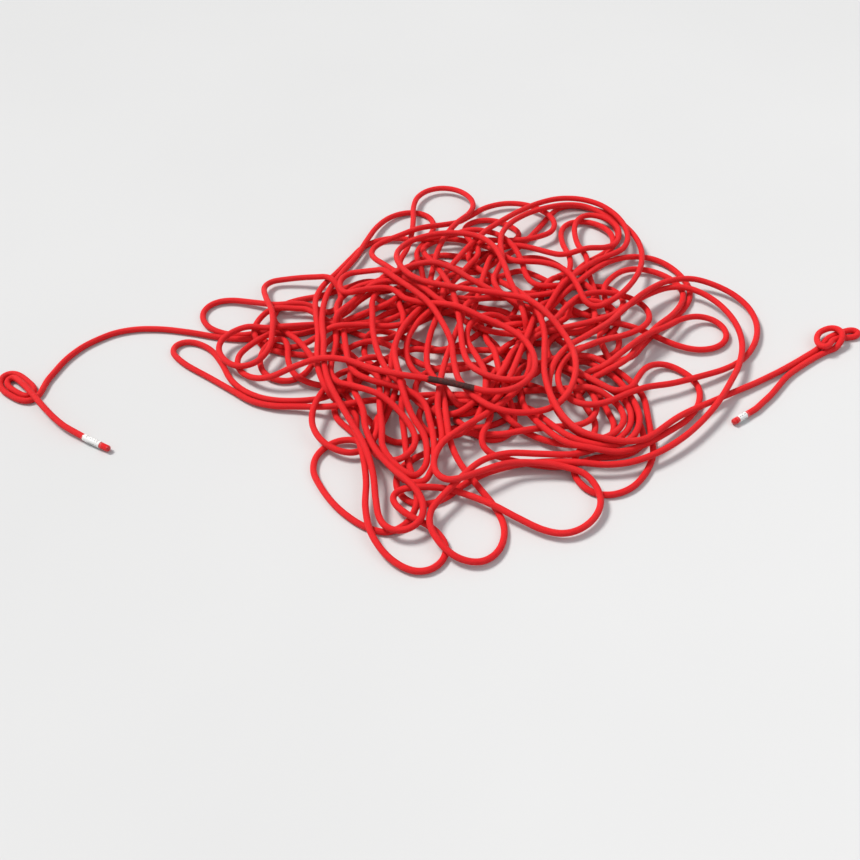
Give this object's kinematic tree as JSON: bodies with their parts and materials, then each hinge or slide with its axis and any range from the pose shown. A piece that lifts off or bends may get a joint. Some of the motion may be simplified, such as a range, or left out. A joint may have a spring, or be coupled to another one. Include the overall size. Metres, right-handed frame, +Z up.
{
  "type": "climbing rope",
  "caption": "Dynamic climbing rope flaked out in a loose heap, with a dark middle mark, a tie-in knot near each end and labelled, sleeved rope ends.",
  "frame": {"origin": "middle of the whole rope's plan box, on the ground", "axes": "+Z up; +Y runs away from the front of the heap; +X to the right seen from the front"},
  "size_m": [1.4118, 0.9278, 0.0694],
  "materials": {
    "sheath_red": "tightly braided nylon sheath, slight sheen",
    "ink": "dark ink soaked into the sheath braid",
    "core_white": "twisted white core strand",
    "tape": "thin printed tracer tape",
    "label": "wrapped white label band",
    "sleeve": "clear shrink sleeve",
    "tip": "melted and rounded rope end"
  },
  "bodies": {
    "heap": {"rope_run_a": "sheath_red", "middle_mark": "ink", "rope_run_b": "sheath_red"},
    "line_a1": {"line_a1": "sheath_red"},
    "line_a2": {"line_a2": "sheath_red"},
    "line_a3": {"line_a3": "sheath_red"},
    "knot_a": {"knot_a": "sheath_red"},
    "tail_a": {"tail_a": "sheath_red"},
    "end_a": {"sheath_a": "sheath_red", "core_a_mid": "core_white", "core_a_1": "core_white", "core_a_2": "core_white", "core_a_3": "core_white", "core_a_4": "core_white", "core_a_5": "core_white", "core_a_6": "core_white", "core_a_7": "core_white", "tape_a": "tape", "label_a": "label", "sleeve_a": "sleeve", "tip_a": "tip"},
    "line_b1": {"line_b1": "sheath_red"},
    "line_b2": {"line_b2": "sheath_red"},
    "knot_b": {"knot_b": "sheath_red"},
    "tail_b": {"tail_b": "sheath_red"},
    "end_b": {"sheath_b": "sheath_red", "core_b_mid": "core_white", "core_b_1": "core_white", "core_b_2": "core_white", "core_b_3": "core_white", "core_b_4": "core_white", "core_b_5": "core_white", "core_b_6": "core_white", "core_b_7": "core_white", "tape_b": "tape", "label_b": "label", "sleeve_b": "sleeve", "tip_b": "tip"}
  },
  "joints": [
    {"name": "swing_a", "type": "hinge", "parent": "heap", "child": "line_a1", "pos_m": [-0.41618, 0.07293, 0.00433], "axis": [0, 0, 1], "range_deg": [-14, 14]},
    {"name": "lift_a", "type": "hinge", "parent": "line_a1", "child": "line_a2", "pos_m": [-0.49133, 0.08403, 0.00433], "axis": [-0.0143, 0.9999, 0], "range_deg": [0, 16]},
    {"name": "curl_a", "type": "hinge", "parent": "line_a2", "child": "line_a3", "pos_m": [-0.55947, 0.05957, 0.00433], "axis": [0, 0, 1], "range_deg": [-11.2, 11.2]},
    {"name": "knot_lift_a", "type": "hinge", "parent": "line_a3", "child": "knot_a", "pos_m": [-0.61227, -0.00745, 0.00433], "axis": [-0.9278, 0.3732, 0], "range_deg": [0, 12]},
    {"name": "tail_swing_a", "type": "hinge", "parent": "knot_a", "child": "tail_a", "pos_m": [-0.62637, -0.09416, 0.01428], "axis": [0, 0, 1], "range_deg": [-12, 16]},
    {"name": "tail_lift_a", "type": "hinge", "parent": "tail_a", "child": "end_a", "pos_m": [-0.5778, -0.14869, 0.01058], "axis": [-0.6153, -0.7883, 0], "range_deg": [0, 18]},
    {"name": "lift_b", "type": "hinge", "parent": "heap", "child": "line_b1", "pos_m": [0.47642, -0.12254, 0.00847], "axis": [0.4692, -0.8831, 0], "range_deg": [0, 16]},
    {"name": "swing_b", "type": "hinge", "parent": "line_b1", "child": "line_b2", "pos_m": [0.51549, -0.10144, 0.00692], "axis": [0, 0, 1], "range_deg": [-5, 16]},
    {"name": "knot_turn_b", "type": "hinge", "parent": "line_b2", "child": "knot_b", "pos_m": [0.55385, -0.07814, 0.00579], "axis": [0, 0, 1], "range_deg": [0, 14.4]},
    {"name": "tail_swing_b", "type": "hinge", "parent": "knot_b", "child": "tail_b", "pos_m": [0.54419, -0.11157, 0.0061], "axis": [0, 0, 1], "range_deg": [-6, 18]},
    {"name": "tail_lift_b", "type": "hinge", "parent": "tail_b", "child": "end_b", "pos_m": [0.50479, -0.15471, 0.0061], "axis": [-0.7108, 0.7034, 0], "range_deg": [0, 18]}
  ],
  "couplings": [
    {"joint": "curl_a", "follows": "swing_a", "ratio": 0.8},
    {"joint": "knot_lift_a", "follows": "lift_a", "ratio": 0.75},
    {"joint": "tail_lift_b", "follows": "lift_b", "ratio": 0.9}
  ]
}
